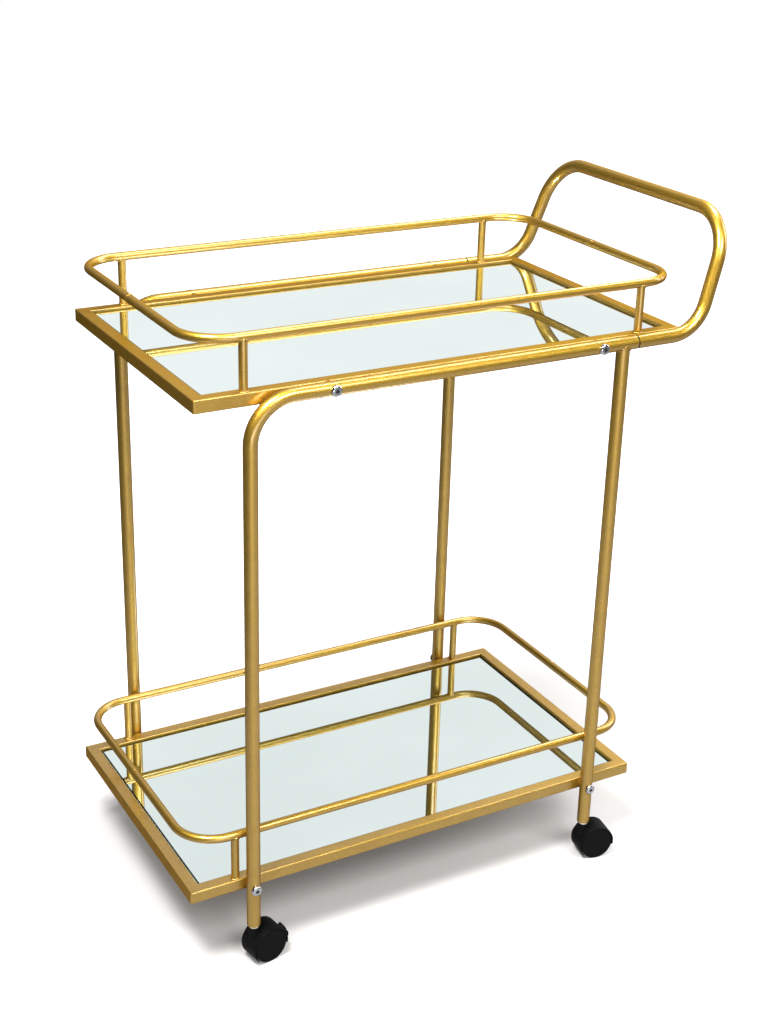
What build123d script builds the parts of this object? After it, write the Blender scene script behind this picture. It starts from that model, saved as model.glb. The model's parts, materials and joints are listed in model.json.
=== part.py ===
from build123d import *
import os
from math import cos, radians, sin, tan

# Two-tier trolley with mirrored trays, in millimetres, +Z up, +X towards the push handle.
# Left and right are those of the person who holds the handle, so left is -Y.

# Layout
tray_length = 614.0
tray_width = 355.0
lower_shelf_top = 111.5      # floor to the top of the lower tray's frame
shelf_spacing = 590.0        # lower frame top to upper frame top
upper_tray_shift = 15.5      # the upper tray sits this much nearer to the handle
leg_spacing = 467.0          # front leg axis to rear leg axis
leg_bottom = 52.0            # floor to the cut end of each leg

# Square tube of the tray frames
square_size = 15.0
square_wall = 1.2
square_edge = 1.5            # rounding along the tube's edges
square_bore_edge = 0.4
mitre_corner = 2.0           # rounding of the ground corner, seen from above

# Round tube of the side frames and the handle
tube_od = 16.0
tube_wall = 1.2
side_bend = 50.0             # centre line radius between front leg and side tube
side_tube_rise = 2.0         # side tube axis above the middle of the upper frame
seam_past_leg = 16.5         # rear leg axis to the end of the side tube

# Push handle
seam_gap = 1.8               # open line between the side tube and the handle's shoulder
handle_run = 53.0            # straight stretch from the seam to the lower bend
handle_bend = 50.0
handle_lean = 18.4           # degrees that the uprights lean back from vertical
handle_toe_in = 12.5         # each upright leans in by this much at the cross bar
bar_height = 827.5           # floor to the axis of the cross bar
bar_bend = 60.0
upright_straight = 12.0      # least straight stretch between an upright's two bends
insert_length = 65.0         # swaged end inside the side tube
insert_wall = 1.2
insert_gap = 0.1             # slip clearance round the swaged end
shoulder_length = 3.0

# Guard rails
rail_od = 10.0
rail_wall = 1.0
rail_height = 58.0           # frame top to rail axis
rail_side_inset = 6.0        # frame's outer side to rail axis
rail_end_inset = 3.5         # frame's outer end to rail axis
rail_bend = 48.0
post_from_end = 58.0         # frame's outer end to post axis
post_od = 9.5
post_wall = 1.0
cope_trim = 1.0              # tips of a coped end, cut off this far below the tube's axis

# Mirror and what carries it
mirror_recess = 3.5          # frame top down to the glass
mirror_thickness = 4.0
mirror_gap = 1.0             # play round the glass
mirror_bevel = 0.6
board_thickness = 3.0
pad_thickness = 1.0
pad_diameter = 9.0
tab_thickness = 2.0
tab_width = 24.0
tab_depth = 14.0
tab_pitch = 190.0            # spacing of the tabs along the long sides

# Fastenings between trays and side frames
spacer_gap = 2.0             # tray side to the nearest line of the round tube
spacer_od = 12.0
screw_diameter = 5.9         # thread taken as a plain cylinder
screw_length = 29.0
screw_clearance = 0.35       # radial, in the tubes and spacers
screw_head_od = 12.8
screw_head_height = 3.6
screw_head_round = 2.4
socket_across_flats = 4.0
socket_depth = 1.9
front_screw_offset = 94.0    # front leg axis to the front upper screw
rear_screw_offset = 33.0     # rear leg axis to the rear upper screw
lower_screw_drop = 0.4       # lower screws below the middle of the lower frame
bush_od = 7.6
bush_length = 10.0
thread_gap = 0.05
seat_gap = 0.02              # radial, for pressed seats

# Casters
wheel_diameter = 42.5
wheel_width = 8.5
wheel_edge = 1.2
rim_thickness = 3.0
disc_thickness = 2.5
hub_diameter = 10.0
axle_diameter = 5.0
axle_end_gap = 0.5           # axle end to the bottom of the wheel's blind bore
running_gap = 0.05           # radial, for parts that turn
caster_trail = 15.5          # stem axis to axle
caster_turn = 10.0           # degrees that the parked casters are swivelled, front ones inwards
web_width = 11.0             # wall between the wheels
wheel_side_gap = 0.5
wheel_well_gap = 0.7         # tread to the inside of the hood
hood_wall = 1.6
hood_edge_round = 0.8
hood_tail_angle = -10.0      # degrees about the axle where the hood's lower edge starts, at its tail
hood_nose_angle = 218.0      # and where it ends, over the top and down the front
hood_lip = 1.6               # radius of the bead along the hood's tail
boss_diameter = 13.0         # hood's boss round the stem
boss_floor = 2.0             # boss below the stem's hole
stem_diameter = 8.0
stem_depth = 24.0            # stem inside the boss
stem_height = 26.0           # stem inside the leg
stem_chamfer = 1.0
stem_end_gap = 0.5
neck_diameter = 11.0         # collar of the leg socket, seen below the leg
neck_height = 3.5
swivel_gap = 0.5             # collar to the top of the boss
socket_length = 32.0

# Brake lever of the front casters
lever_width = 13.0
lever_side_gap = 0.5
lever_thickness = 5.0
lever_top_angle = 29.0       # degrees above the axle
lever_bottom_angle = -6.0
lever_travel = 12.0          # degrees that the lever tips when it is pressed
lever_end_flat = 1.0         # flat stretch of the lever's round upper end
lever_toe = 2.2              # the toe's rise above the lever
lever_toe_angle = 10.0
lever_flare_angle = 20.0     # the flare reaches this far above the lever's lower end
lever_hood_gap = 0.4         # lever over the wells' radius
lever_slot_angle = 5.0       # slot beyond the lever's ends
lever_arm_width = 6.2
lever_arm_gap = 0.4
lever_boss = 3.2
lever_arm_room = 1.2         # slot beyond the lever's boss
brake_pin_diameter = 3.0
brake_pin_radius = 18.0      # axle to brake pin
brake_pin_angle = 2.0
brake_pin_end_gap = 0.1

# Worked-out sizes
tube_radius = tube_od / 2
tube_bore = tube_radius - tube_wall
leg_y = tray_width / 2 + spacer_gap + tube_radius
upper_shelf_top = lower_shelf_top + shelf_spacing
side_tube_z = upper_shelf_top - square_size / 2 + side_tube_rise
lower_screw_z = lower_shelf_top - square_size / 2 - lower_screw_drop
rail_y = tray_width / 2 - rail_side_inset
wheel_radius = wheel_diameter / 2
well_radius = wheel_radius + wheel_well_gap
hood_radius = well_radius + hood_wall
boss_top = leg_bottom - neck_height - swivel_gap
wheel_inner_y = web_width / 2 + wheel_side_gap
wheel_outer_y = wheel_inner_y + wheel_width
axle_half = wheel_outer_y - disc_thickness - axle_end_gap

# Places along X, with the whole trolley centred over the origin
rear_leg_reach = leg_spacing / 2
seam_reach = rear_leg_reach + seam_past_leg
handle_turn = radians(90 - handle_lean)
upright_length = (bar_height - side_tube_z) / sin(handle_turn)
bend_runs = handle_bend * tan(handle_turn / 2) + bar_bend
bend_fit = min(1, (upright_length - upright_straight) / bend_runs)  # bends tighten on a short upright
lower_bend = handle_bend * bend_fit
upper_bend = bar_bend * bend_fit
knee_reach = seam_reach + handle_run + lower_bend * tan(handle_turn / 2)
bar_reach = knee_reach + (bar_height - side_tube_z) / tan(handle_turn)
rail_reach = tray_length / 2 - rail_end_inset + rail_od / 2
lower_x = (rail_reach - bar_reach - tube_radius) / 2
upper_x = lower_x + upper_tray_shift
front_leg_x = lower_x - rear_leg_reach
rear_leg_x = lower_x + rear_leg_reach
seam_x = lower_x + seam_reach
knee_x = lower_x + knee_reach
bar_x = lower_x + bar_reach
upper_screw_xs = (front_leg_x + front_screw_offset, rear_leg_x - rear_screw_offset)
lower_screw_xs = (front_leg_x, rear_leg_x)

SIDES = {"left": -1, "right": 1}
TRAYS = {
    "upper": (upper_x, upper_shelf_top, upper_screw_xs, side_tube_z),
    "lower": (lower_x, lower_shelf_top, lower_screw_xs, lower_screw_z),
}


def rod(start, end, radius):
    """Round bar between two points."""
    run = Vector(*end) - Vector(*start)
    return extrude(Plane(origin=start, z_dir=run) * Circle(radius), run.length)


def bar(path, radius):
    """Round bar along a bent path."""
    return sweep((path ^ 0) * Circle(radius), path=path)


def group(shapes):
    """Separate solids kept together in one node."""
    return Compound([solid for shape in shapes for solid in shape.solids()])


def save(name, shape):
    export_step(shape, f"parts/{name}.step")


def screw_places(tray):
    """Where the tray's screws enter its sides: x, side and z."""
    xs, z = TRAYS[tray][2:]
    return [(x, side, z) for side in SIDES.values() for x in xs]


def tray_tube(length):
    """Square tube along X, centred on the origin."""
    bore = square_size - 2 * square_wall
    section = RectangleRounded(square_size, square_size, square_edge)
    section -= RectangleRounded(bore, bore, square_bore_edge)
    return extrude(Plane.YZ * section, length / 2, both=True)


def tray_members(tray):
    """Four mitred tubes of one tray, by the side they lie on."""
    x, top, _, _ = TRAYS[tray]
    half_l = tray_length / 2
    half_w = tray_width / 2
    inner_l = half_l - square_size
    inner_w = half_w - square_size
    outline = extrude(RectangleRounded(tray_length, tray_width, mitre_corner), square_size, both=True)
    long_tube = tray_tube(tray_length)
    end_tube = Rot(0, 0, 90) * tray_tube(tray_width)
    members = {}
    for name, side in SIDES.items():
        mitre = Polygon((-half_l, side * half_w), (half_l, side * half_w),
                        (inner_l, side * inner_w), (-inner_l, side * inner_w), align=None)
        tube = Pos(0, side * (half_w - square_size / 2), 0) * long_tube
        members[name] = tube & extrude(mitre, square_size, both=True) & outline
    for name, end in (("front", -1), ("rear", 1)):
        mitre = Polygon((end * half_l, -half_w), (end * half_l, half_w),
                        (end * inner_l, inner_w), (end * inner_l, -inner_w), align=None)
        tube = Pos(end * (half_l - square_size / 2), 0, 0) * end_tube
        members[name] = tube & extrude(mitre, square_size, both=True) & outline
    placed = {name: Pos(x, 0, top - square_size / 2) * tube for name, tube in members.items()}
    for screw_x, side, z in screw_places(tray):
        face = side * half_w
        hole = rod((screw_x, face, z), (screw_x, face - side * square_size / 2, z), bush_od / 2 + seat_gap)
        name = "left" if side < 0 else "right"
        placed[name] -= hole
    return placed


def mirror(tray):
    x, top, _, _ = TRAYS[tray]
    length = tray_length - 2 * (square_size + mirror_gap)
    width = tray_width - 2 * (square_size + mirror_gap)
    glass = Box(length, width, mirror_thickness)
    glass = chamfer(glass.faces().sort_by(Axis.Z)[-1].edges(), mirror_bevel)
    return Pos(x, 0, top - mirror_recess - mirror_thickness / 2) * glass


def backing_board(tray):
    x, top, _, _ = TRAYS[tray]
    length = tray_length - 2 * (square_size + mirror_gap)
    width = tray_width - 2 * (square_size + mirror_gap)
    z = top - mirror_recess - mirror_thickness - board_thickness / 2
    return Pos(x, 0, z) * Box(length, width, board_thickness)


def tab_places():
    """Tab centres from the tray's middle, and whether the tab stands on an end tube."""
    along = tray_width / 2 - square_size - tab_depth / 2
    across = tray_length / 2 - square_size - tab_depth / 2
    long_sides = [(step * tab_pitch, side * along, False) for side in (-1, 1) for step in (-1, 0, 1)]
    return long_sides + [(end * across, 0, True) for end in (-1, 1)]


def support_tabs(tray):
    """Flat steel tabs welded inside the frame, under the mirror."""
    x, top, _, _ = TRAYS[tray]
    pads_top = top - mirror_recess - mirror_thickness - board_thickness
    z = pads_top - pad_thickness - tab_thickness / 2
    tabs = []
    for tab_x, tab_y, on_end in tab_places():
        plate = Rot(0, 0, 90 if on_end else 0) * Box(tab_width, tab_depth, tab_thickness)
        tabs.append(Pos(x + tab_x, tab_y, z) * plate)
    return group(tabs)


def board_pads(tray):
    """Soft discs between the tabs and the backing board."""
    x, top, _, _ = TRAYS[tray]
    pads_top = top - mirror_recess - mirror_thickness - board_thickness
    z = pads_top - pad_thickness / 2
    disc = Cylinder(pad_diameter / 2, pad_thickness)
    return group([Pos(x + tab_x, tab_y, z) * disc for tab_x, tab_y, _ in tab_places()])


def rail_path(tray, side):
    """Centre line of half a guard rail, from mid end to mid end."""
    x, top, _, _ = TRAYS[tray]
    reach = tray_length / 2 - rail_end_inset
    z = top + rail_height
    y = side * rail_y
    corners = [(x - reach, 0, z), (x - reach, y, z), (x + reach, y, z), (x + reach, 0, z)]
    return FilletPolyline(*corners, radius=rail_bend)


def rail_half(tray, side):
    path = rail_path(tray, side)
    return bar(path, rail_od / 2) - bar(path, rail_od / 2 - rail_wall)


def rail_posts(tray):
    """Four short tubes, each cut to fit round the rail above it."""
    x, top, _, _ = TRAYS[tray]
    reach = tray_length / 2 - post_from_end
    posts = []
    for side in SIDES.values():
        rail = bar(rail_path(tray, side), rail_od / 2)
        for end in (-1, 1):
            foot = (x + end * reach, side * rail_y, top)
            head = (x + end * reach, side * rail_y, top + rail_height - cope_trim)
            posts.append(rod(foot, head, post_od / 2) - rod(foot, head, post_od / 2 - post_wall) - rail)
    return group(posts)


def screw_holes(side):
    """Clearance holes for the four screws of one side."""
    radius = screw_diameter / 2 + screw_clearance
    places = [place for tray in TRAYS for place in screw_places(tray) if place[1] == side]
    near = side * (leg_y - tube_od)
    far = side * (leg_y + tube_od)
    return [rod((x, near, z), (x, far, z), radius) for x, _, z in places]


def side_tube(side):
    """Front leg, bend and side tube, bent from one length."""
    y = side * leg_y
    corners = [(front_leg_x, y, leg_bottom), (front_leg_x, y, side_tube_z), (seam_x, y, side_tube_z)]
    path = FilletPolyline(*corners, radius=side_bend)
    return bar(path, tube_radius) - bar(path, tube_bore) - screw_holes(side)


def rear_leg(side):
    """Straight tube, its top cut to fit under the side tube."""
    y = side * leg_y
    foot = (rear_leg_x, y, leg_bottom)
    head = (rear_leg_x, y, side_tube_z - cope_trim)
    leg = rod(foot, head, tube_radius) - rod(foot, head, tube_bore)
    over = rod((rear_leg_x - tube_od, y, side_tube_z), (rear_leg_x + tube_od, y, side_tube_z), tube_radius)
    return leg - over - screw_holes(side)


def push_handle():
    """Bent tube whose swaged ends slide into the side tubes."""
    shoulder_x = seam_x + seam_gap

    def loop(start_x):
        top = (bar_x, handle_toe_in - leg_y, bar_height)
        near = [(start_x, -leg_y, side_tube_z), (knee_x, -leg_y, side_tube_z), top]
        far = [(x, -y, z) for x, y, z in reversed(near)]
        return FilletPolyline(*near, *far, radius=[lower_bend, upper_bend, upper_bend, lower_bend])

    handle = bar(loop(shoulder_x), tube_radius)
    bore = bar(loop(shoulder_x + shoulder_length), tube_bore)
    insert_radius = tube_bore - insert_gap
    for side in SIDES.values():
        tip = (seam_x - insert_length, side * leg_y, side_tube_z)
        root = (shoulder_x + shoulder_length / 2, side * leg_y, side_tube_z)
        through = (shoulder_x + 2 * shoulder_length, side * leg_y, side_tube_z)
        handle += rod(tip, root, insert_radius)
        bore += rod(tip, through, insert_radius - insert_wall)
    return handle - bore - screw_holes(-1) - screw_holes(1)


def spacers(tray):
    """Saddle washers between the tray's sides and the round tubes."""
    shapes = []
    for x, side, z in screw_places(tray):
        face = (x, side * tray_width / 2, z)
        axis = (x, side * leg_y, z)
        step = (tube_od, 0, 0) if tray == "upper" else (0, 0, tube_od)
        ends = [tuple(a + sign * s for a, s in zip(axis, step)) for sign in (-1, 1)]
        hole = rod(face, axis, screw_diameter / 2 + screw_clearance)
        shapes.append(rod(face, axis, spacer_od / 2) - rod(*ends, tube_radius) - hole)
    return group(shapes)


def screw():
    """Button-head screw along +Z, with the underside of its head at the origin."""
    head = Pos(0, 0, -screw_head_height / 2) * Cylinder(screw_head_od / 2, screw_head_height)
    head = fillet(head.faces().sort_by(Axis.Z)[0].edges(), screw_head_round)
    hexagon = RegularPolygon(socket_across_flats / 2, 6, major_radius=False)
    socket = Pos(0, 0, -screw_head_height) * extrude(hexagon, socket_depth)
    return head + rod((0, 0, 0), (0, 0, screw_length), screw_diameter / 2) - socket


def screws(tray):
    shapes = []
    for x, side, z in screw_places(tray):
        seat = Plane(origin=(x, side * (leg_y + tube_radius), z), x_dir=(1, 0, 0), z_dir=(0, -side, 0))
        shapes.append(seat * screw())
    return group(shapes)


def thread_bushes(tray):
    """Threaded sleeves let into the tray's long tubes, flush outside."""
    shapes = []
    for x, side, z in screw_places(tray):
        mouth = (x, side * tray_width / 2, z)
        tail = (x, side * (tray_width / 2 - bush_length), z)
        shapes.append(rod(mouth, tail, bush_od / 2) - rod(mouth, tail, screw_diameter / 2 + thread_gap))
    return group(shapes)


def leg_socket():
    """Plug in the leg's end with a narrow collar below, about the stem's axis."""
    collar_bottom = leg_bottom - neck_height
    plug = rod((0, 0, leg_bottom), (0, 0, leg_bottom + socket_length), tube_bore - seat_gap)
    collar = rod((0, 0, collar_bottom), (0, 0, leg_bottom), neck_diameter / 2)
    bore_top = leg_bottom + stem_height + stem_end_gap
    return plug + collar - rod((0, 0, collar_bottom), (0, 0, bore_top), stem_diameter / 2 + seat_gap)


def stem():
    pin = rod((0, 0, boss_top - stem_depth), (0, 0, leg_bottom + stem_height), stem_diameter / 2)
    return chamfer(pin.edges().filter_by(GeomType.CIRCLE), stem_chamfer)


def ring_sector(inner, outer, start, end):
    """Flat ring sector about the axle, angles in degrees above the tail."""
    outside = CenterArc((0, 0), outer, start, end - start)
    inside = CenterArc((0, 0), inner, start, end - start)
    return make_face([outside, inside, Line(inside @ 0, outside @ 0), Line(inside @ 1, outside @ 1)])


def about_axle(sketch, width):
    """Slab across the caster from a sketch drawn about the axle."""
    return extrude(Plane.XZ * Pos(caster_trail, wheel_radius) * sketch, width / 2, both=True)


def polar(radius, angle):
    """Point about the axle, its angle in degrees above the tail."""
    return radius * cos(radians(angle)), radius * sin(radians(angle))


def hood_outline():
    """Side view of the hood about the axle: a disc cut off below by a slanted edge."""
    arc = CenterArc((0, 0), hood_radius, hood_tail_angle, hood_nose_angle - hood_tail_angle)
    return make_face([arc, Line(arc @ 1, arc @ 0)])


def housing(locking):
    """Hood, web and stem boss of one caster, open at both sides for the wheels."""
    body = about_axle(hood_outline(), 2 * wheel_outer_y)
    sides = body.faces().sort_by(Axis.Y)
    body = fillet((sides[0].edges() + sides[-1].edges()).filter_by(GeomType.CIRCLE), hood_edge_round)
    if not locking:
        lip_half = wheel_outer_y - hood_edge_round
        tail_x, tail_z = polar(hood_radius, hood_tail_angle)
        lip_x = caster_trail + tail_x - hood_lip / 2
        lip_z = wheel_radius + tail_z + hood_lip
        body += rod((lip_x, -lip_half, lip_z), (lip_x, lip_half, lip_z), hood_lip)
    stem_bottom = boss_top - stem_depth - stem_end_gap
    body += rod((0, 0, stem_bottom - boss_floor), (0, 0, boss_top), boss_diameter / 2)
    well = about_axle(Circle(well_radius), 4 * wheel_outer_y)
    body -= well - about_axle(Circle(well_radius), web_width)
    body -= about_axle(Circle(axle_diameter / 2 + seat_gap), web_width)
    body -= rod((0, 0, stem_bottom), (0, 0, boss_top), stem_diameter / 2 + running_gap)
    if locking:
        body -= brake_slot()
    return body


def brake_slot():
    """Room for the brake lever in the tail of the hood, and the hole for its pin."""
    bottom = lever_bottom_angle - lever_travel - lever_slot_angle
    top = lever_top_angle + lever_slot_angle
    beyond = hood_radius + lever_thickness
    hood_cut = ring_sector(well_radius - lever_hood_gap, beyond, bottom, top)
    arm_floor = brake_pin_radius - lever_boss - lever_arm_room
    arm_cut = ring_sector(arm_floor, beyond, bottom, top)
    pin_hole = Pos(*polar(brake_pin_radius, brake_pin_angle)) * Circle(brake_pin_diameter / 2 + seat_gap)
    slot = about_axle(hood_cut, lever_width + 2 * lever_side_gap)
    slot += about_axle(arm_cut, lever_arm_width + 2 * lever_arm_gap)
    return slot + about_axle(pin_hole, web_width)


def brake_lever():
    """Foot lever in the tail of the hood, round at its upper end and flared into a toe below."""
    inner = well_radius + lever_hood_gap
    middle = inner + lever_thickness / 2
    outer = inner + lever_thickness
    plate = ring_sector(inner, outer, lever_bottom_angle, lever_top_angle)
    toe_angle = lever_bottom_angle + lever_toe_angle
    flare_angle = lever_bottom_angle + lever_flare_angle
    toe = Polygon(polar(middle, lever_bottom_angle), polar(outer + lever_toe, lever_bottom_angle),
                  polar(outer + lever_toe, toe_angle), polar(outer, flare_angle),
                  polar(middle, flare_angle), align=None)
    lever = about_axle(plate + toe, lever_width)
    upper_end = lever.faces().filter_by(GeomType.PLANE).sort_by(Axis.Z)[-1]
    across = upper_end.edges().sort_by(Axis.Y)
    lever = fillet([across[0], across[-1]], (lever_width - lever_end_flat) / 2)
    pin_x, pin_z = polar(brake_pin_radius, brake_pin_angle)
    boss = Pos(pin_x, pin_z) * Circle(lever_boss)
    arm_length = middle - pin_x
    arm = Pos(pin_x + arm_length / 2, pin_z) * Rectangle(arm_length, 2 * lever_boss)
    lever += about_axle(boss + arm, lever_arm_width)
    return lever - about_axle(Pos(pin_x, pin_z) * Circle(brake_pin_diameter / 2 + running_gap), lever_width)


def brake_pin():
    disc = Pos(*polar(brake_pin_radius, brake_pin_angle)) * Circle(brake_pin_diameter / 2)
    return about_axle(disc, web_width - 2 * brake_pin_end_gap)


def axle():
    return about_axle(Circle(axle_diameter / 2), 2 * axle_half)


def wheel(side):
    """Moulded wheel with a plain outer face, hollow towards the web."""
    inner = side * wheel_inner_y
    outer = side * wheel_outer_y
    disc_y = outer - side * disc_thickness

    def turned(radius, start, end):
        return rod((caster_trail, start, wheel_radius), (caster_trail, end, wheel_radius), radius)

    body = turned(wheel_radius, inner, outer)
    body = fillet(body.edges().filter_by(GeomType.CIRCLE), wheel_edge)
    hollow = turned(wheel_radius - rim_thickness, inner, disc_y) - turned(hub_diameter / 2, inner, disc_y)
    return body - hollow - turned(axle_diameter / 2 + running_gap, inner, disc_y)


def build_tray(tray):
    for name, tube in tray_members(tray).items():
        save(f"{tray}_tray_{name}_tube", tube)
    for name, side in SIDES.items():
        save(f"{tray}_rail_{name}_half", rail_half(tray, side))
    save(f"{tray}_rail_posts", rail_posts(tray))
    save(f"{tray}_mirror", mirror(tray))
    save(f"{tray}_backing_board", backing_board(tray))
    save(f"{tray}_support_tabs", support_tabs(tray))
    save(f"{tray}_board_pads", board_pads(tray))
    save(f"{tray}_spacers", spacers(tray))
    save(f"{tray}_screws", screws(tray))
    save(f"{tray}_thread_bushes", thread_bushes(tray))


def build_caster(name, place, locking):
    save(f"{name}_stem", place * stem())
    save(f"{name}_housing", place * housing(locking))
    save(f"{name}_axle", place * axle())
    for wheel_name, side in SIDES.items():
        save(f"{name}_{wheel_name}_wheel", place * wheel(side))
    if locking:
        save(f"{name}_brake_lever", place * brake_lever())
        save(f"{name}_brake_pin", place * brake_pin())


def main():
    os.makedirs("parts", exist_ok=True)
    for tray in TRAYS:
        build_tray(tray)
    for name, side in SIDES.items():
        save(f"{name}_side_tube", side_tube(side))
        save(f"{name}_rear_leg", rear_leg(side))
    save("push_handle", push_handle())
    sockets = []
    for end, x, turn in (("front", front_leg_x, caster_turn), ("rear", rear_leg_x, -caster_turn)):
        for name, side in SIDES.items():
            place = Pos(x, side * leg_y, 0) * Rot(0, 0, -side * turn)
            sockets.append(place * leg_socket())
            build_caster(f"{end}_{name}_caster", place, locking=end == "front")
    save("leg_sockets", group(sockets))


main()
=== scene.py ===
import json
import math

import bpy
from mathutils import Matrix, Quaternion, Vector, noise


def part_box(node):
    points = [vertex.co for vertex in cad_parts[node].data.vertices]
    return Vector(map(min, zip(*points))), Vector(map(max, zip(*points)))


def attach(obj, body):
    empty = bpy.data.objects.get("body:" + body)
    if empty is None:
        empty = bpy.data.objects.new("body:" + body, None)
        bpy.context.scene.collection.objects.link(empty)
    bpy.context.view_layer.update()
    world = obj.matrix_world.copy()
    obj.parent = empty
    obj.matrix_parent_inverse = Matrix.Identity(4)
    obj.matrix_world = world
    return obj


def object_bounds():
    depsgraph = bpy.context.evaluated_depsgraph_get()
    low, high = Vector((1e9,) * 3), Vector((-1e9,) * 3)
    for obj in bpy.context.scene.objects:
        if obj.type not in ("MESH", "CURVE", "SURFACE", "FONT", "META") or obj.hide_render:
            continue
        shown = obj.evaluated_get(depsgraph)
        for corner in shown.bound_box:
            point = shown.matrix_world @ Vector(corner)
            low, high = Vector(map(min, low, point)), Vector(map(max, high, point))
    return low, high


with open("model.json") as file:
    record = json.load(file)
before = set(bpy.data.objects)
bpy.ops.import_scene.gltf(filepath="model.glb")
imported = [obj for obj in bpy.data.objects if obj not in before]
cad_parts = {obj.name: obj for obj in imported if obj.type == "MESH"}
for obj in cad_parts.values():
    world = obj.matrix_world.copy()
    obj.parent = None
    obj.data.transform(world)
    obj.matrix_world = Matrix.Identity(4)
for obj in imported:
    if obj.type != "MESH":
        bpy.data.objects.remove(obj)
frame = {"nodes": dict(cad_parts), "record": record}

nodes = frame["nodes"]
cadLow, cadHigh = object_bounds()
scene = bpy.context.scene
scene.view_settings.view_transform = "Standard"
trays = ("upper", "lower")
print("frame loaded:", len(nodes), "pieces of CAD")


# small helpers for objects and node trees

def addObject(name, data):
    piece = bpy.data.objects.new(name, data)
    scene.collection.objects.link(piece)
    return piece


def addNode(tree, kind, **settings):
    node = tree.nodes.new(kind)
    for key, value in settings.items():
        setattr(node, key, value)
    return node


def setInputs(node, **values):
    for key, value in values.items():
        node.inputs[key.replace("_", " ")].default_value = value
    return node


def linkInputs(tree, node, **sources):
    for key, source in sources.items():
        tree.links.new(source, node.inputs[key.replace("_", " ")])


def feed(tree, socket, value):
    # another node's output is linked, anything else is a plain value
    if isinstance(value, bpy.types.NodeSocket):
        tree.links.new(value, socket)
    else:
        socket.default_value = value


def mathNode(tree, operation, first, second):
    node = addNode(tree, "ShaderNodeMath", operation=operation)
    for socket, value in zip(node.inputs, (first, second)):
        feed(tree, socket, value)
    return node.outputs[0]


def dotNode(tree, way, side):
    node = addNode(tree, "ShaderNodeVectorMath", operation="DOT_PRODUCT")
    for socket, value in zip(node.inputs, (way, side)):
        feed(tree, socket, value)
    return node.outputs["Value"]


def mapRange(tree, value, span, result, kind="LINEAR"):
    node = addNode(tree, "ShaderNodeMapRange", interpolation_type=kind)
    labels = ("Value", "From Min", "From Max", "To Min", "To Max")
    for label, given in zip(labels, (value, *span, *result)):
        feed(tree, node.inputs[label], given)
    return node.outputs[0]


def mixColour(tree, factor, first, second):
    node = addNode(tree, "ShaderNodeMix", data_type="RGBA")
    for socket, value in zip((node.inputs[0], node.inputs[6], node.inputs[7]), (factor, first, second)):
        feed(tree, socket, value)
    return node.outputs[2]


def rgb(red, green, blue):
    return (red, green, blue, 1.0)


def newGroup(name, inputs, outputs):
    group = bpy.data.node_groups.new(name, "ShaderNodeTree")
    for way, sockets in (("INPUT", inputs), ("OUTPUT", outputs)):
        for label, kind in sockets:
            group.interface.new_socket(label, in_out=way, socket_type=kind)
    return group, addNode(group, "NodeGroupInput"), addNode(group, "NodeGroupOutput")


def newMaterial(name):
    material = bpy.data.materials.new(name)
    material.use_nodes = True
    tree = material.node_tree
    return material, tree, tree.nodes["Principled BSDF"]


def bumpFrom(tree, shader, height, strength, distance):
    bump = setInputs(addNode(tree, "ShaderNodeBump"), Strength=strength, Distance=distance)
    linkInputs(tree, bump, Height=height)
    linkInputs(tree, shader, Normal=bump.outputs["Normal"])


# shared surface effects

grainNoise = {
    "fine": {"Detail": 3.0, "Roughness": 0.6},
    "broad": {"Detail": 4.0, "Roughness": 0.55},
    "fineSpan": (0.32, 0.68),  # this much of the fine noise is stretched to its full span
    "shares": (0.6, 0.4),  # of the fine and the broad noise in the blend
}


def grainGroup():
    # fine grain over broad mottling, both counted per metre
    colour, value = "NodeSocketColor", "NodeSocketFloat"
    group, entry, leave = newGroup(
        "fineGrain",
        [("Light", colour), ("Dark", colour), ("Fine", value), ("Broad", value),
         ("Rough Low", value), ("Rough High", value)],
        [("Color", colour), ("Roughness", value), ("Height", value)])
    place = addNode(group, "ShaderNodeTexCoord").outputs["Object"]
    fine = setInputs(addNode(group, "ShaderNodeTexNoise"), **grainNoise["fine"])
    broad = setInputs(addNode(group, "ShaderNodeTexNoise"), **grainNoise["broad"])
    linkInputs(group, fine, Vector=place, Scale=entry.outputs["Fine"])
    linkInputs(group, broad, Vector=place, Scale=entry.outputs["Broad"])
    sharpened = mapRange(group, fine.outputs["Fac"], grainNoise["fineSpan"], (0.0, 1.0))
    fineShare, broadShare = grainNoise["shares"]
    blend = mathNode(group, "ADD", mathNode(group, "MULTIPLY", sharpened, fineShare),
                     mathNode(group, "MULTIPLY", broad.outputs["Fac"], broadShare))
    rough = mapRange(group, blend, (0.0, 1.0), (entry.outputs["Rough High"], entry.outputs["Rough Low"]))
    linkInputs(group, leave, Roughness=rough, Height=sharpened,
               Color=mixColour(group, blend, entry.outputs["Dark"], entry.outputs["Light"]))
    return group


fineGrain = grainGroup()
print("shared effects ready")


# finishes, each with its grains per metre (fine, broad) and its bump (strength, depth in metres)

def addGrain(tree, look):
    grain = addNode(tree, "ShaderNodeGroup", node_tree=fineGrain)
    fine, broad = look["grains"]
    smooth, rough = look["roughness"]
    setInputs(grain, Light=look["light"], Dark=look["dark"], Fine=fine, Broad=broad,
              Rough_Low=smooth, Rough_High=rough)
    return grain.outputs


goldLook = {
    "light": rgb(0.61, 0.388, 0.05),
    "dark": rgb(0.32, 0.172, 0.01),
    "edge": rgb(0.18, 0.1, 0.014),  # tint of the metal at a glancing angle
    "grains": (1100.0, 60.0),
    "roughness": (0.4, 0.52),
    "metallic": 0.97,
    "coat": (1.0, 0.08),  # facing, and at a glancing angle, where the satin lacquer loses its gloss
    "coatTurn": (0.4, 0.75),  # between which turns away from facing
    "coatRoughness": 0.2,
    "coatIor": 1.72,
    "bump": (0.2, 0.0002),
}


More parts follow.
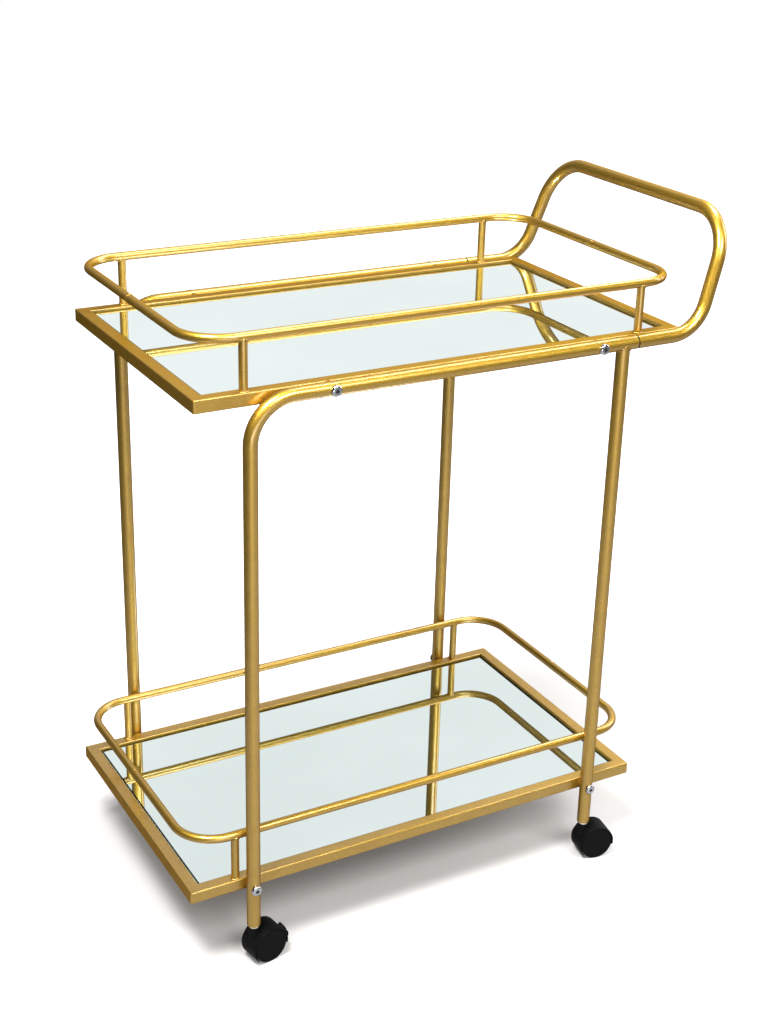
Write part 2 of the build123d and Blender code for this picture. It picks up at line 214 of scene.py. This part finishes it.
def goldPaint():
    material, tree, shader = newMaterial("goldPaint")
    grain = addGrain(tree, goldLook)
    facing = addNode(tree, "ShaderNodeLayerWeight").outputs["Facing"]
    gloss = mapRange(tree, facing, goldLook["coatTurn"], goldLook["coat"], "SMOOTHSTEP")
    linkInputs(tree, shader, Base_Color=grain["Color"], Roughness=grain["Roughness"], Coat_Weight=gloss)
    setInputs(shader, Metallic=goldLook["metallic"], Specular_Tint=goldLook["edge"],
              Coat_Roughness=goldLook["coatRoughness"], Coat_IOR=goldLook["coatIor"])
    bumpFrom(tree, shader, grain["Height"], *goldLook["bump"])
    return material


mirrorLook = {
    "light": rgb(0.83, 0.92, 0.905),
    "dark": rgb(0.73, 0.82, 0.80),
    "grains": (2.5, 6.0),  # a faint clouding, wider than a hand
    "roughness": (0.001, 0.003),
    "metallic": 1.0,
    "paintedRimShade": rgb(0.012, 0.018, 0.015),  # painted shade and reflection: a dark band along the edges, for the cut edge of the glass and the shaded frame wall seen again in the silver under it
    "rimWidth": 0.003,
    "rimSoft": 0.0006,
}


def outsideBox(tree, centre, half):
    # how far a point lies outside a rectangle seen from above
    tall = 10.0  # metres, so that height never counts
    spot = addNode(tree, "ShaderNodeTexCoord").outputs["Object"]
    for operation, value in (("SUBTRACT", (*centre, 0)), ("ABSOLUTE", None), ("SUBTRACT", (*half, tall)),
                             ("MAXIMUM", (0, 0, 0)), ("LENGTH", None)):
        step = addNode(tree, "ShaderNodeVectorMath", operation=operation)
        tree.links.new(spot, step.inputs[0])
        if value:
            step.inputs[1].default_value = value
        spot = step.outputs["Value" if operation == "LENGTH" else "Vector"]
    return spot


def mirrorGlass(tray):
    material, tree, shader = newMaterial(f"{tray}MirrorGlass")
    grain = addGrain(tree, mirrorLook)
    low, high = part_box(f"{tray}_mirror")
    centre = [(high[i] + low[i]) / 2 for i in range(2)]
    clear = [(high[i] - low[i]) / 2 - mirrorLook["rimWidth"] for i in range(2)]
    # painted shade: the mirror's colour turns near black in a band this wide along its edges
    paintedRimShade = mapRange(tree, outsideBox(tree, centre, clear), (0.0, mirrorLook["rimSoft"]), (0.0, 1.0))
    colour = mixColour(tree, paintedRimShade, grain["Color"], mirrorLook["paintedRimShade"])
    linkInputs(tree, shader, Base_Color=colour, Roughness=grain["Roughness"])
    setInputs(shader, Metallic=mirrorLook["metallic"])
    return material


plainLooks = {
    "hardboard": {"light": rgb(0.33, 0.22, 0.13), "dark": rgb(0.2, 0.125, 0.07), "grains": (600.0, 30.0),
                  "roughness": (0.7, 0.85), "bump": (0.4, 0.0003)},
    "clearPad": {"light": rgb(0.75, 0.75, 0.73), "dark": rgb(0.66, 0.66, 0.64), "grains": (300.0, 60.0),
                 "roughness": (0.35, 0.5), "bump": (0.1, 0.0002)},
    "brightScrew": {"light": rgb(0.58, 0.59, 0.61), "dark": rgb(0.42, 0.43, 0.45), "grains": (700.0, 200.0),
                    "roughness": (0.12, 0.22), "metallic": 1.0, "bump": (0.05, 0.0001)},
    "bareSteel": {"light": rgb(0.62, 0.63, 0.65), "dark": rgb(0.45, 0.46, 0.48), "grains": (500.0, 120.0),
                  "roughness": (0.28, 0.42), "metallic": 1.0, "bump": (0.1, 0.0002)},
    "creamPlastic": {"light": rgb(0.82, 0.75, 0.6), "dark": rgb(0.74, 0.66, 0.5), "grains": (800.0, 90.0),
                     "roughness": (0.4, 0.52), "bump": (0.1, 0.0002)},
    "blackPlastic": {"light": rgb(0.005, 0.005, 0.0054), "dark": rgb(0.0025, 0.0025, 0.0027),
                     "grains": (1500.0, 60.0), "roughness": (0.42, 0.54), "shine": 0.05,
                     "bump": (0.15, 0.0002)},
    "blackWheel": {"light": rgb(0.006, 0.006, 0.0064), "dark": rgb(0.003, 0.003, 0.0032),
                   "grains": (1300.0, 70.0), "roughness": (0.45, 0.58), "shine": 0.04,
                   "bump": (0.15, 0.0002)},
    "socketShade": {"light": rgb(0.10, 0.10, 0.105), "dark": rgb(0.05, 0.05, 0.052),
                    "grains": (900.0, 200.0), "roughness": (0.35, 0.5), "metallic": 0.8,
                    "bump": (0.1, 0.0001)},
    "glassEdge": {"light": rgb(0.30, 0.42, 0.37), "dark": rgb(0.20, 0.31, 0.27), "grains": (400.0, 60.0),
                  "roughness": (0.12, 0.2), "bump": (0.05, 0.0001)},
    "seamShade": {"light": rgb(0.035, 0.022, 0.008), "dark": rgb(0.015, 0.01, 0.004),
                  "grains": (900.0, 80.0), "roughness": (0.5, 0.7), "metallic": 0.3,
                  "bump": (0.1, 0.0001)},
}


def plainFinish(name):
    look = plainLooks[name]
    material, tree, shader = newMaterial(name)
    grain = addGrain(tree, look)
    linkInputs(tree, shader, Base_Color=grain["Color"], Roughness=grain["Roughness"])
    setInputs(shader, Metallic=look.get("metallic", 0.0))
    if "shine" in look:
        setInputs(shader, Specular_IOR_Level=look["shine"])
    bumpFrom(tree, shader, grain["Height"], *look["bump"])
    return material


finishes = {
    "gold_paint": goldPaint(),
    "hardboard": plainFinish("hardboard"),
    "clear_pad": plainFinish("clearPad"),
    "bright_screw": plainFinish("brightScrew"),
    "bare_steel": plainFinish("bareSteel"),
    "cream_plastic": plainFinish("creamPlastic"),
    "black_plastic": plainFinish("blackPlastic"),
    "black_wheel": plainFinish("blackWheel"),
}
mirrorFinishes = {f"{tray}_mirror": mirrorGlass(tray) for tray in trays}
for row in frame["record"]["subparts"]:
    node = row["node"]
    for slot in nodes[node].material_slots:
        slot.material = mirrorFinishes.get(node) or finishes[row["material_slot"]]


# separate solids inside one node, as boxes

def solidBoxes(node, gap=0.0005):
    # faces whose boxes come nearer than the gap belong to one solid
    boxes = []
    corners = nodes[node].data.vertices
    for face in nodes[node].data.polygons:
        spots = [corners[i].co for i in face.vertices]
        low, high = Vector(map(min, *spots)), Vector(map(max, *spots))
        apart = []
        for other in boxes:
            near = all(low[i] - gap <= other[1][i] and other[0][i] <= high[i] + gap for i in range(3))
            if near:
                low = Vector(map(min, low, other[0]))
                high = Vector(map(max, high, other[1]))
            else:
                apart.append(other)
        boxes = apart + [(low, high)]
    return boxes


def middle(box):
    return (box[0] + box[1]) / 2


# second finish on some faces of a node

facePaint = {
    "socketReach": 0.0024,  # from a screw's axis to the corners of its hex socket
    "glassTop": 0.9,  # a mirror's faces that look up less than this are its cut edges and back
    "seamReach": 0.0019,  # of the open seam, from the side tubes' ends along the handle
}


def paintFaces(node, finish, chosen):
    piece = nodes[node]
    piece.data.materials.append(finish)
    for face in piece.data.polygons:
        if chosen(face):
            face.material_index = len(piece.data.materials) - 1


def darkenSockets(node, finish):
    axes = [middle(box) for box in solidBoxes(node)]
    corners = nodes[node].data.vertices

    def inSocket(face):
        axis = min(axes, key=lambda spot: (spot - face.center).length)
        reach = [math.hypot(corners[i].co.x - axis.x, corners[i].co.z - axis.z) for i in face.vertices]
        return max(reach) < facePaint["socketReach"]

    paintFaces(node, finish, inSocket)


def darkenSeam(finish):
    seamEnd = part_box("left_side_tube")[1].x + facePaint["seamReach"]
    paintFaces("push_handle", finish, lambda face: face.center.x < seamEnd)


socketShade = plainFinish("socketShade")
glassEdge = plainFinish("glassEdge")
for tray in trays:
    darkenSockets(f"{tray}_screws", socketShade)
    paintFaces(f"{tray}_mirror", glassEdge, lambda face: face.normal.z < facePaint["glassTop"])
darkenSeam(plainFinish("seamShade"))
print("screw sockets, glass edges and handle seam set")


# weld beads, each a rippled string of metal along its joint

weldBeads = {
    "footRadius": 0.0011,
    "headRadius": 0.0009,
    "legRadius": 0.0015,
    "buttRadius": 0.0003,
    "tabRadius": 0.0012,
    "pointsPerRing": 64,
    "bevelSteps": 3,
    "ripple": 0.16,  # share of the bead's radius
    "ripplesPerRing": 16,
    "wander": 0.22,  # share of the bead's radius
    "wandersPerMetre": 400,
    "nub": 2.6,  # lump left where a butt weld was closed, in radii of the bead
    "nubWidth": 0.35,  # radians round the rail
    "flush": 0.75,  # how far a leg's bead thins out where both tubes run flush
    "saddleEnd": 0.18,  # least drop of a saddle's sides, as a share of the level tube's radius
}


def ringAngles():
    count = weldBeads["pointsPerRing"]
    return [2 * math.pi * step / count for step in range(count)]


def beadCurve(name, paths, radius, closed=True, lumps=None):
    data = bpy.data.curves.new(name, "CURVE")
    data.dimensions = "3D"
    data.bevel_depth = radius
    data.bevel_resolution = weldBeads["bevelSteps"]
    data.use_fill_caps = True
    for path in paths:
        spline = data.splines.new("POLY")
        spline.points.add(len(path) - 1)
        spline.use_cyclic_u = closed
        spline.use_smooth = True
        for step, (point, spot) in enumerate(zip(spline.points, path)):
            turn = 2 * math.pi * step / len(path)
            swell = weldBeads["ripple"] * math.sin(weldBeads["ripplesPerRing"] * turn)
            drift = weldBeads["wander"] * noise.noise(Vector(spot) * weldBeads["wandersPerMetre"])
            point.co = (*spot, 1.0)
            point.radius = 1.0 + swell + drift + (lumps(turn) if lumps else 0.0)
    data.materials.append(finishes["gold_paint"])
    bead = addObject(name, data)
    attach(bead, "trolley_frame")


def flatRing(centre, radius):
    return [centre + Vector((radius * math.cos(a), radius * math.sin(a), 0)) for a in ringAngles()]


def saddleRing(centre, radius, tubeRadius):
    # where a standing tube meets a level tube along X, centred on that tube's axis
    points = []
    leastDrop = weldBeads["saddleEnd"] * tubeRadius
    for angle in ringAngles():
        side = radius * math.sin(angle)
        drop = math.sqrt(max(tubeRadius ** 2 - side ** 2, leastDrop ** 2))
        points.append(centre + Vector((radius * math.cos(angle), side, -drop)))
    return points


def endRing(centre, radius):
    # round a tube that runs along Y
    return [centre + Vector((radius * math.cos(a), 0, radius * math.sin(a))) for a in ringAngles()]


def weldRail(tray):
    low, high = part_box(f"{tray}_rail_left_half")
    railRadius = (high.z - low.z) / 2
    railHeight = (high.z + low.z) / 2
    feet, heads = [], []
    for box in solidBoxes(f"{tray}_rail_posts"):
        post = middle(box)
        postRadius = (box[1].x - box[0].x) / 2
        feet.append(flatRing(Vector((post.x, post.y, box[0].z)), postRadius))
        heads.append(saddleRing(Vector((post.x, post.y, railHeight)), postRadius, railRadius))
    beadCurve(f"{tray}_post_foot_welds", feet, weldBeads["footRadius"])
    beadCurve(f"{tray}_post_head_welds", heads, weldBeads["headRadius"])
    ends = [endRing(Vector((x, 0, railHeight)), railRadius)
            for x in (low.x + railRadius, high.x - railRadius)]

    def topLump(turn):
        return weldBeads["nub"] * math.exp(-((turn - math.pi / 2) / weldBeads["nubWidth"]) ** 2)

    beadCurve(f"{tray}_rail_butt_welds", ends, weldBeads["buttRadius"], lumps=topLump)


def weldTabs(tray):
    heart = middle(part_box(f"{tray}_mirror"))
    count = weldBeads["pointsPerRing"]
    roots = []
    for low, high in solidBoxes(f"{tray}_support_tabs"):
        spot = middle((low, high))
        along = high - low
        if along.x > along.y:
            y = high.y if spot.y > heart.y else low.y
            ends = Vector((low.x, y, low.z)), Vector((high.x, y, low.z))
        else:
            x = high.x if spot.x > heart.x else low.x
            ends = Vector((x, low.y, low.z)), Vector((x, high.y, low.z))
        roots.append([ends[0].lerp(ends[1], step / (count - 1)) for step in range(count)])
    beadCurve(f"{tray}_tab_welds", roots, weldBeads["tabRadius"], closed=False)


def weldLegs():
    rings = []
    for side in ("left", "right"):
        legLow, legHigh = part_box(f"{side}_rear_leg")
        tubeLow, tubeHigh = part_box(f"{side}_side_tube")
        legRadius = (legHigh.x - legLow.x) / 2
        tubeRadius = (tubeHigh.y - tubeLow.y) / 2
        crown = Vector(((legLow.x + legHigh.x) / 2, (legLow.y + legHigh.y) / 2, tubeHigh.z - tubeRadius))
        rings.append(saddleRing(crown, legRadius, tubeRadius))

    def flushSides(turn):
        return -weldBeads["flush"] * math.sin(turn) ** 2

    beadCurve("rear_leg_welds", rings, weldBeads["legRadius"], lumps=flushSides)


for tray in trays:
    weldRail(tray)
    weldTabs(tray)
weldLegs()
print("weld beads laid")


# studio

def aimAt(piece, place, target, rollDegrees=0.0):
    piece.location = place
    aim = Vector(target) - piece.location
    roll = Quaternion((0, 0, 1), math.radians(rollDegrees))
    piece.rotation_mode = "QUATERNION"
    piece.rotation_quaternion = aim.to_track_quat("-Z", "Y") @ roll


cameraView = {
    "place": (-0.9243, -1.6196, 1.2564),
    "target": (-0.0024, -0.0257, 0.4755),
    "rollDegrees": 1.78,
    "lens": 57.74,
    "sensor": 36.0,
    "shift": (-0.0156, -0.0117),
}


def makeCamera():
    data = bpy.data.cameras.new("photoCamera")
    data.lens = cameraView["lens"]
    data.sensor_width = cameraView["sensor"]
    data.shift_x, data.shift_y = cameraView["shift"]
    camera = addObject("photoCamera", data)
    aimAt(camera, cameraView["place"], cameraView["target"], cameraView["rollDegrees"])
    scene.camera = camera


def backgroundRays(tree):
    # what a ray is, and whether metal or glass sent it
    path = addNode(tree, "ShaderNodeLightPath").outputs
    return path, mathNode(tree, "MAXIMUM", path["Is Glossy Ray"], path["Is Transmission Ray"])


studioFloor = {
    "half": 6.0,
    "colour": rgb(0.5, 0.49, 0.48),
    "roughness": 0.9,
    "shine": 0.1,
    "mirroredSide": (0.91, -0.41, 0),  # painted shade: as metal and glass see it, the floor's colour turns lighter this way and darker the other way
    "mirroredSpan": (-1.3, -0.2),  # between these distances along that way, in metres
    "mirroredColour": (0.05, 0.27),
    "shadowGlow": 0.06,  # share of the white background that fills the shadow
    "shadowSide": (0.05, 0.03),  # painted: the white glow is centred this far off, so the darker floor around the trolley, shadow included, lies a little to this side
    "whiteInset": 0.03,  # the white background starts this far inside the trolley's outline
    "whiteBy": 0.34,  # and is full this far from there
    "mirroredWhite": 0.05,  # share of that white which metal and glass see in the floor
}


def makeFloor():
    half = studioFloor["half"]
    mesh = bpy.data.meshes.new("studioFloor")
    corners = [(x * half, y * half, 0) for x, y in ((-1, -1), (1, -1), (1, 1), (-1, 1))]
    mesh.from_pydata(corners, [], [(0, 1, 2, 3)])
    floor = addObject("studioFloor", mesh)
    material, tree, shader = newMaterial("paleFloor")
    path, sent = backgroundRays(tree)
    direct = path["Is Camera Ray"]
    place = addNode(tree, "ShaderNodeTexCoord").outputs["Object"]
    # painted shade: for all but camera rays the floor's colour darkens away from mirroredSide
    across = dotNode(tree, place, studioFloor["mirroredSide"])
    dim = mapRange(tree, across, studioFloor["mirroredSpan"], studioFloor["mirroredColour"], "SMOOTHSTEP")
    centre = [(cadLow[i] + cadHigh[i]) / 2 + studioFloor["shadowSide"][i] for i in range(2)]
    footprint = [(cadHigh[i] - cadLow[i]) / 2 - studioFloor["whiteInset"] for i in range(2)]
    # painted light: the floor glows white for camera rays, least near the trolley and more further out,
    # which lightens the outer part of its shadow
    fade = mapRange(tree, outsideBox(tree, centre, footprint), (0.0, studioFloor["whiteBy"]),
                    (studioFloor["shadowGlow"], 1.0), "SMOOTHSTEP")
    mirrored = mathNode(tree, "MULTIPLY", sent, studioFloor["mirroredWhite"])
    white = mathNode(tree, "MULTIPLY", fade, mathNode(tree, "ADD", direct, mirrored))
    below = addNode(tree, "ShaderNodeNewGeometry").outputs["Backfacing"]  # the floor is clear from below
    setInputs(shader, Roughness=studioFloor["roughness"], Specular_IOR_Level=studioFloor["shine"],
              Emission_Color=rgb(1, 1, 1))
    linkInputs(tree, shader, Base_Color=mixColour(tree, direct, dim, studioFloor["colour"]),
               Emission_Strength=white, Alpha=mathNode(tree, "SUBTRACT", 1.0, below))
    mesh.materials.append(material)


studioWorld = {
    "level": 0.6,
    "roomSide": 0.06,  # what metal and glass see of the room on the camera's side
    "roomAgain": 0.3,  # the same for metal that is itself seen in a mirror or other metal
    "bounces": 1.5,  # a ray with more of them off metal and glass is such a one
    "backdropSide": (0.7, 0.7, 0),
    "turn": (0.3, 0.75),  # how far a direction leans to the backdrop where the room turns white
    "sharpLean": 2.0,  # added for a mirror's sharp rays, so that they find white on every side
    "ceiling": 0.94,  # share of that white left above the backdrop
    "backdropTop": (0.38, 0.6),  # rise of a direction between which the backdrop ends
}


def makeWorld():
    world = bpy.data.worlds.new("studioWorld")
    scene.world = world
    world.use_nodes = True
    tree = world.node_tree
    level, roomSide = studioWorld["level"], studioWorld["roomSide"]
    path, sent = backgroundRays(tree)
    way = addNode(tree, "ShaderNodeTexCoord").outputs["Generated"]
    rise = addNode(tree, "ShaderNodeSeparateXYZ")
    linkInputs(tree, rise, Vector=way)
    sharp = mathNode(tree, "MULTIPLY", path["Is Singular Ray"], studioWorld["sharpLean"])
    lean = mathNode(tree, "ADD", dotNode(tree, way, studioWorld["backdropSide"]), sharp)
    again = mathNode(tree, "GREATER_THAN", path["Glossy Depth"], studioWorld["bounces"])
    lighter = mathNode(tree, "MULTIPLY", again, studioWorld["roomAgain"] - roomSide)
    darkest = mathNode(tree, "ADD", lighter, roomSide - level)
    room = mapRange(tree, lean, studioWorld["turn"], (darkest, 1.0 - level), "SMOOTHSTEP")
    ceiling = mapRange(tree, rise.outputs["Z"], studioWorld["backdropTop"],
                       (0.0, 1.0 - studioWorld["ceiling"]), "SMOOTHSTEP")
    mirrored = mathNode(tree, "MULTIPLY", sent, mathNode(tree, "SUBTRACT", room, ceiling))
    white = mathNode(tree, "MULTIPLY", path["Is Camera Ray"], 1.0 - level)
    strength = mathNode(tree, "ADD", level, mathNode(tree, "ADD", mirrored, white))
    back = setInputs(tree.nodes["Background"], Color=rgb(1, 1, 1))
    linkInputs(tree, back, Strength=strength)


studioLamps = {
    "overhead": {"place": (-0.95, -0.6, 2.35), "target": (0, -0.05, 0.4), "size": (0.6, 0.6),
                 "spread": 110, "watts": 34},
    "front": {"place": (0.2, -2.1, 2.3), "target": (-0.1, -0.5, 0.2), "size": (1.6, 0.9),
              "spread": 100, "watts": 23},
    "low": {"place": (-0.45, -2.2, 0.34), "target": (0, -0.1, 0.45), "size": (1.6, 0.5),
            "spread": 130, "watts": 6},
    "rear": {"place": (1.0, 0.35, 2.4), "target": (0, 0, 0.5), "size": (0.6, 1.6),
             "spread": 120, "watts": 18},
    "right": {"place": (2.2, -0.3, 1.4), "target": (0.2, 0, 0.6), "size": (1.0, 1.4),
              "spread": 120, "watts": 10},
}


def makeLamps():
    for name, lamp in studioLamps.items():
        data = bpy.data.lights.new(name, "AREA")
        data.shape = "RECTANGLE"
        data.size, data.size_y = lamp["size"]
        data.spread = math.radians(lamp["spread"])
        data.energy = lamp["watts"]
        aimAt(addObject(name, data), lamp["place"], lamp["target"])


makeCamera()
makeFloor()
makeWorld()
makeLamps()
print("studio ready")
